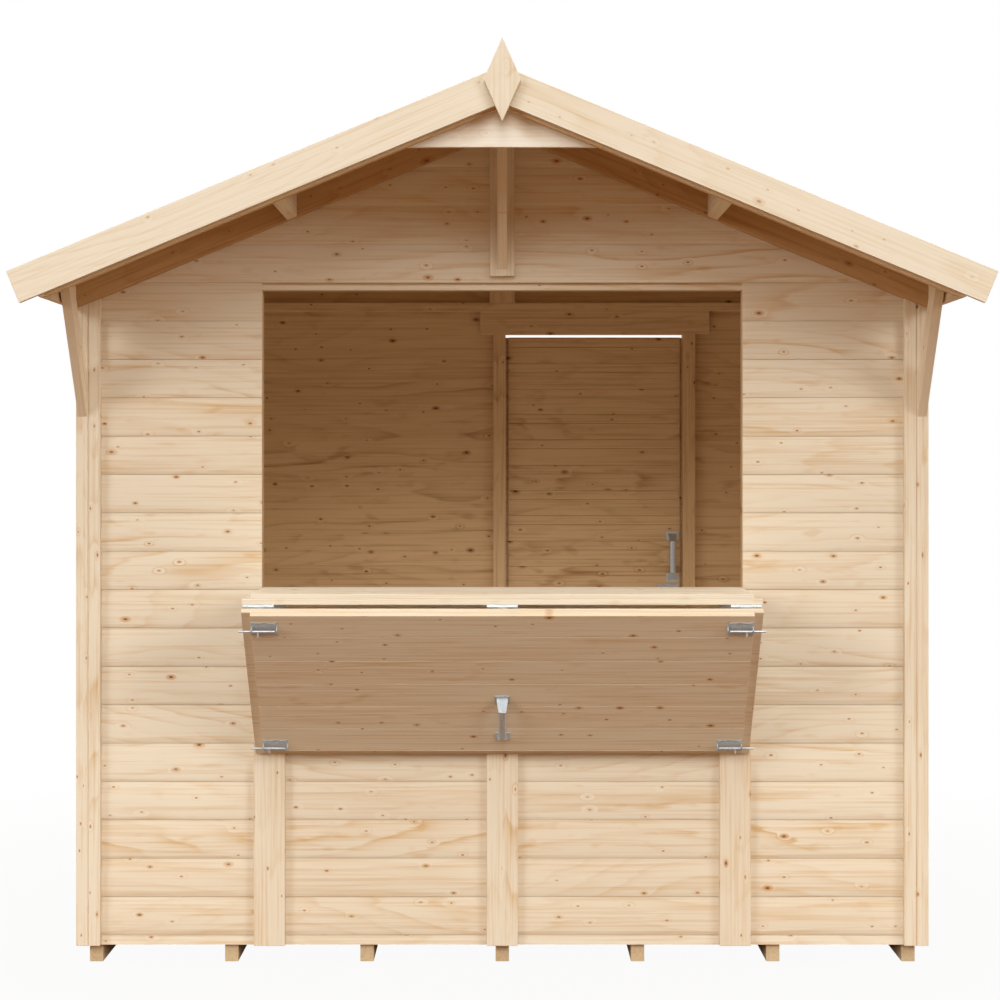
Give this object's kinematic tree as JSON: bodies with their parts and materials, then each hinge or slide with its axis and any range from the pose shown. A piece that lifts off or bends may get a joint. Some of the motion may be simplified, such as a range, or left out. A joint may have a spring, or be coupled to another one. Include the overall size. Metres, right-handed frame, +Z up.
{
  "type": "wooden market stall",
  "caption": "Gabled pine kiosk on bearers with lapped board walls, a folding serving hatch whose lower leaf is the counter, a back door and a braced roof overhang.",
  "frame": {"origin": "on the ground, in the middle of the floor plan, on the underside of the middle bearer", "axes": "+X to the right across the serving front, +Y from the front to the back, +Z up"},
  "size_m": [2.668, 2.1, 2.593],
  "materials": {
    "cladding_pine": "planed pale pine boards, lightly sealed",
    "frame_pine": "planed pine framing",
    "trim_pine": "planed pine trim, grain along the piece",
    "bargeboard_pine": "planed pale pine, grain along the slope",
    "roof_pine": "planed pine roof boards",
    "floor_pine": "sawn pine floor boards",
    "bearer_pine": "sawn pressure-treated bearers",
    "hatch_pine": "planed pine boards",
    "door_pine": "planed upright pine boards",
    "zinc_steel": "dull zinc-plated steel"
  },
  "bodies": {
    "stall": {"bearers": "bearer_pine", "floor_deck": "floor_pine", "front_wall_left": "cladding_pine", "front_wall_right": "cladding_pine", "front_wall_lower": "cladding_pine", "front_gable": "cladding_pine", "left_wall": "cladding_pine", "right_wall": "cladding_pine", "back_wall_left": "cladding_pine", "back_wall_right": "cladding_pine", "back_wall_over_door": "cladding_pine", "back_gable": "cladding_pine", "wall_studs": "frame_pine", "front_sill": "frame_pine", "front_head_rail": "frame_pine", "wall_plates": "frame_pine", "back_posts": "frame_pine", "door_lintel": "frame_pine", "back_rail": "frame_pine", "back_gable_post": "frame_pine", "front_corner_boards": "trim_pine", "back_corner_boards": "trim_pine", "side_corner_boards": "trim_pine", "front_battens": "trim_pine", "door_trims": "trim_pine", "corner_braces": "trim_pine", "centre_brace": "trim_pine", "ridge_beam": "frame_pine", "outer_rafters": "frame_pine", "gable_rafters": "frame_pine", "purlins": "frame_pine", "overhang_noggins": "frame_pine", "eaves_boards": "trim_pine", "roof_deck_left": "roof_pine", "roof_deck_right": "roof_pine", "overhang_gable_panel": "trim_pine", "front_bargeboards": "bargeboard_pine", "back_bargeboards": "bargeboard_pine", "finials": "bargeboard_pine", "wall_hinges": "zinc_steel", "door_frame_hinges": "zinc_steel"},
    "counter": {"counter_leaf": "hatch_pine", "counter_hinges": "zinc_steel"},
    "prop": {"prop_leaf": "hatch_pine", "prop_hinges": "zinc_steel", "hatch_bolt_plates": "zinc_steel", "hatch_handle": "zinc_steel"},
    "bolt_upper_left": {"hatch_bolt_upper_left": "zinc_steel"},
    "bolt_upper_right": {"hatch_bolt_upper_right": "zinc_steel"},
    "bolt_lower_left": {"hatch_bolt_lower_left": "zinc_steel"},
    "bolt_lower_right": {"hatch_bolt_lower_right": "zinc_steel"},
    "door": {"door_leaf": "door_pine", "door_hinges": "zinc_steel", "door_handle": "zinc_steel", "door_bolt_plate": "zinc_steel"},
    "door_bolt_rod": {"door_bolt": "zinc_steel"}
  },
  "joints": [
    {"name": "counter_fold", "type": "hinge", "parent": "stall", "child": "counter", "pos_m": [0, -0.7935, 1.059], "axis": [-1, 0, 0], "range_deg": [0, 90]},
    {"name": "prop_fold", "type": "hinge", "parent": "counter", "child": "prop", "pos_m": [0, -1.1475, 1.059], "axis": [-1, 0, 0], "range_deg": [0, 130.02]},
    {"name": "slide_upper_left", "type": "slide", "parent": "prop", "child": "bolt_upper_left", "axis": [1, 0, 0], "range_m": [0, 0.034]},
    {"name": "slide_lower_left", "type": "slide", "parent": "prop", "child": "bolt_lower_left", "axis": [1, 0, 0], "range_m": [0, 0.034]},
    {"name": "slide_upper_right", "type": "slide", "parent": "prop", "child": "bolt_upper_right", "axis": [-1, 0, 0], "range_m": [0, 0.034]},
    {"name": "slide_lower_right", "type": "slide", "parent": "prop", "child": "bolt_lower_right", "axis": [-1, 0, 0], "range_m": [0, 0.034]},
    {"name": "door_swing", "type": "hinge", "parent": "stall", "child": "door", "pos_m": [0.0045, 0.7905, 1], "axis": [0, 0, 1], "range_deg": [0, 105]},
    {"name": "door_bolt_slide", "type": "slide", "parent": "door", "child": "door_bolt_rod", "axis": [1, 0, 0], "range_m": [0, 0.034]}
  ]
}
